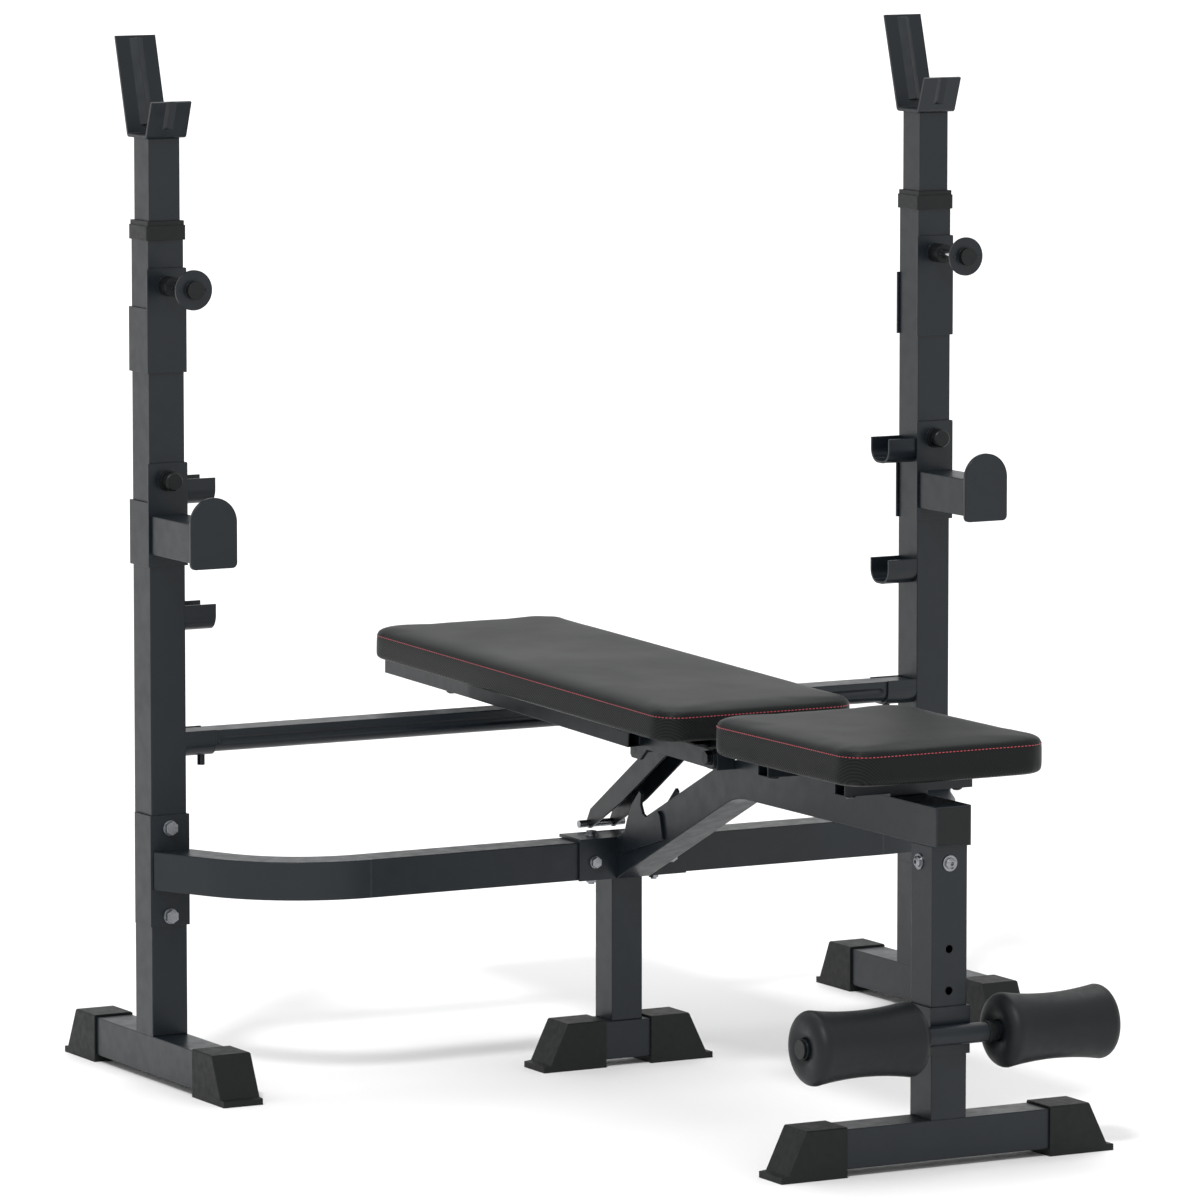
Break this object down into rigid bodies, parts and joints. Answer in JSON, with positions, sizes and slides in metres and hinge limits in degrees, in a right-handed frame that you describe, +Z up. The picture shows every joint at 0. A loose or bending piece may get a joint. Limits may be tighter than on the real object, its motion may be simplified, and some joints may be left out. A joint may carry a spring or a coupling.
{
  "type": "olympic bench press",
  "caption": "Free-standing weight bench with hinged back rest, seat, leg rollers and posts that carry height-adjustable bar catches and safety arms.",
  "frame": {"origin": "middle of the footprint of the bounding box, on the floor", "axes": "+Z up, +X from the left post to the right post, -Y from the posts towards the seat"},
  "size_m": [1.226, 1.3532, 1.3621],
  "materials": {
    "powder_coat": "satin charcoal powder coat",
    "zinc": "bright zinc",
    "chrome": "polished",
    "cap_rubber": "matte",
    "black_plastic": "matte",
    "vinyl": "satin vinyl-coated fabric",
    "foam": "matte foam"
  },
  "bodies": {
    "frame": {"base_beam_centre": "powder_coat", "base_beam_front": "powder_coat", "base_beam_left": "powder_coat", "base_beam_right": "powder_coat", "centre_bracket": "powder_coat", "centre_post": "powder_coat", "collar_left": "black_plastic", "collar_right": "black_plastic", "crossbar": "powder_coat", "crossbar_bolts": "zinc", "crossmember": "powder_coat", "foot_caps_centre": "cap_rubber", "foot_caps_front": "cap_rubber", "foot_caps_side": "cap_rubber", "frame_bolts": "zinc", "front_leg": "powder_coat", "hinge_bolt": "zinc", "hinge_stubs": "powder_coat", "hook_plates": "powder_coat", "post_bracket_bolts": "zinc", "post_bracket_left": "powder_coat", "post_bracket_right": "powder_coat", "post_left": "powder_coat", "post_right": "powder_coat", "seat_members": "powder_coat", "seat_pad": "vinyl", "seat_screws": "zinc", "spine": "powder_coat", "spine_plug": "black_plastic", "troughs_left": "powder_coat", "troughs_right": "powder_coat", "upper_sleeve_left": "powder_coat", "upper_sleeve_right": "powder_coat"},
    "mast_left": {"inner_post_left": "powder_coat", "bar_catch_left": "powder_coat"},
    "upper_clamp_left": {"upper_knob_left": "chrome"},
    "safety_left": {"safety_sleeve_left": "powder_coat", "safety_arm_left": "powder_coat"},
    "lower_clamp_left": {"lower_knob_left": "black_plastic"},
    "mast_right": {"inner_post_right": "powder_coat", "bar_catch_right": "powder_coat"},
    "upper_clamp_right": {"upper_knob_right": "chrome"},
    "safety_right": {"safety_sleeve_right": "powder_coat", "safety_arm_right": "powder_coat"},
    "lower_clamp_right": {"lower_knob_right": "black_plastic"},
    "back_rest": {"back_pad": "vinyl", "back_studs": "zinc", "back_rail_screws": "zinc", "back_rail_left": "powder_coat", "back_rail_right": "powder_coat", "hinge_arm_left": "powder_coat", "hinge_arm_right": "powder_coat", "strut_pivot_rod": "zinc"},
    "strut": {"strut": "powder_coat", "strut_foot_rod": "zinc"},
    "roller_carriage": {"roller_carriage": "powder_coat", "roller_axle": "powder_coat", "roller_plugs": "black_plastic"},
    "foam_left": {"foam_roller_left": "foam"},
    "foam_right": {"foam_roller_right": "foam"}
  },
  "joints": [
    {"name": "mast_slide_left", "type": "slide", "parent": "frame", "child": "mast_left", "axis": [0, 0, 1], "range_m": [-0.1, 0.15]},
    {"name": "upper_clamp_turn_left", "type": "hinge", "parent": "frame", "child": "upper_clamp_left", "pos_m": [-0.58, 0.31428, 1.042], "axis": [0, -1, 0], "range_deg": [0, 360]},
    {"name": "safety_slide_left", "type": "slide", "parent": "frame", "child": "safety_left", "axis": [0, 0, 1], "range_m": [-0.3, 0.1]},
    {"name": "lower_clamp_turn_left", "type": "hinge", "parent": "safety_left", "child": "lower_clamp_left", "pos_m": [-0.58, 0.37428, 0.789], "axis": [0, -1, 0], "range_deg": [0, 360]},
    {"name": "mast_slide_right", "type": "slide", "parent": "frame", "child": "mast_right", "axis": [0, 0, 1], "range_m": [-0.1, 0.15]},
    {"name": "upper_clamp_turn_right", "type": "hinge", "parent": "frame", "child": "upper_clamp_right", "pos_m": [0.58, 0.31428, 1.042], "axis": [0, -1, 0], "range_deg": [0, 360]},
    {"name": "safety_slide_right", "type": "slide", "parent": "frame", "child": "safety_right", "axis": [0, 0, 1], "range_m": [-0.3, 0.1]},
    {"name": "lower_clamp_turn_right", "type": "hinge", "parent": "safety_right", "child": "lower_clamp_right", "pos_m": [0.58, 0.37428, 0.789], "axis": [0, -1, 0], "range_deg": [0, 360]},
    {"name": "back_rest_hinge", "type": "hinge", "parent": "frame", "child": "back_rest", "pos_m": [0, -0.11572, 0.453], "axis": [1, 0, 0], "range_deg": [0, 30]},
    {"name": "strut_hinge", "type": "hinge", "parent": "back_rest", "child": "strut", "pos_m": [0, 0.07928, 0.44], "axis": [1, 0, 0], "range_deg": [-60, 0]},
    {"name": "roller_height", "type": "slide", "parent": "frame", "child": "roller_carriage", "axis": [0, 0, 1], "range_m": [0, 0.104]},
    {"name": "foam_turn_left", "type": "hinge", "parent": "roller_carriage", "child": "foam_left", "pos_m": [-0.14, -0.62952, 0.168], "axis": [1, 0, 0], "continuous": true},
    {"name": "foam_turn_right", "type": "hinge", "parent": "roller_carriage", "child": "foam_right", "pos_m": [0.14, -0.62952, 0.168], "axis": [1, 0, 0], "continuous": true}
  ],
  "couplings": [
    {"joint": "strut_hinge", "follows": "back_rest_hinge", "ratio": -2}
  ]
}
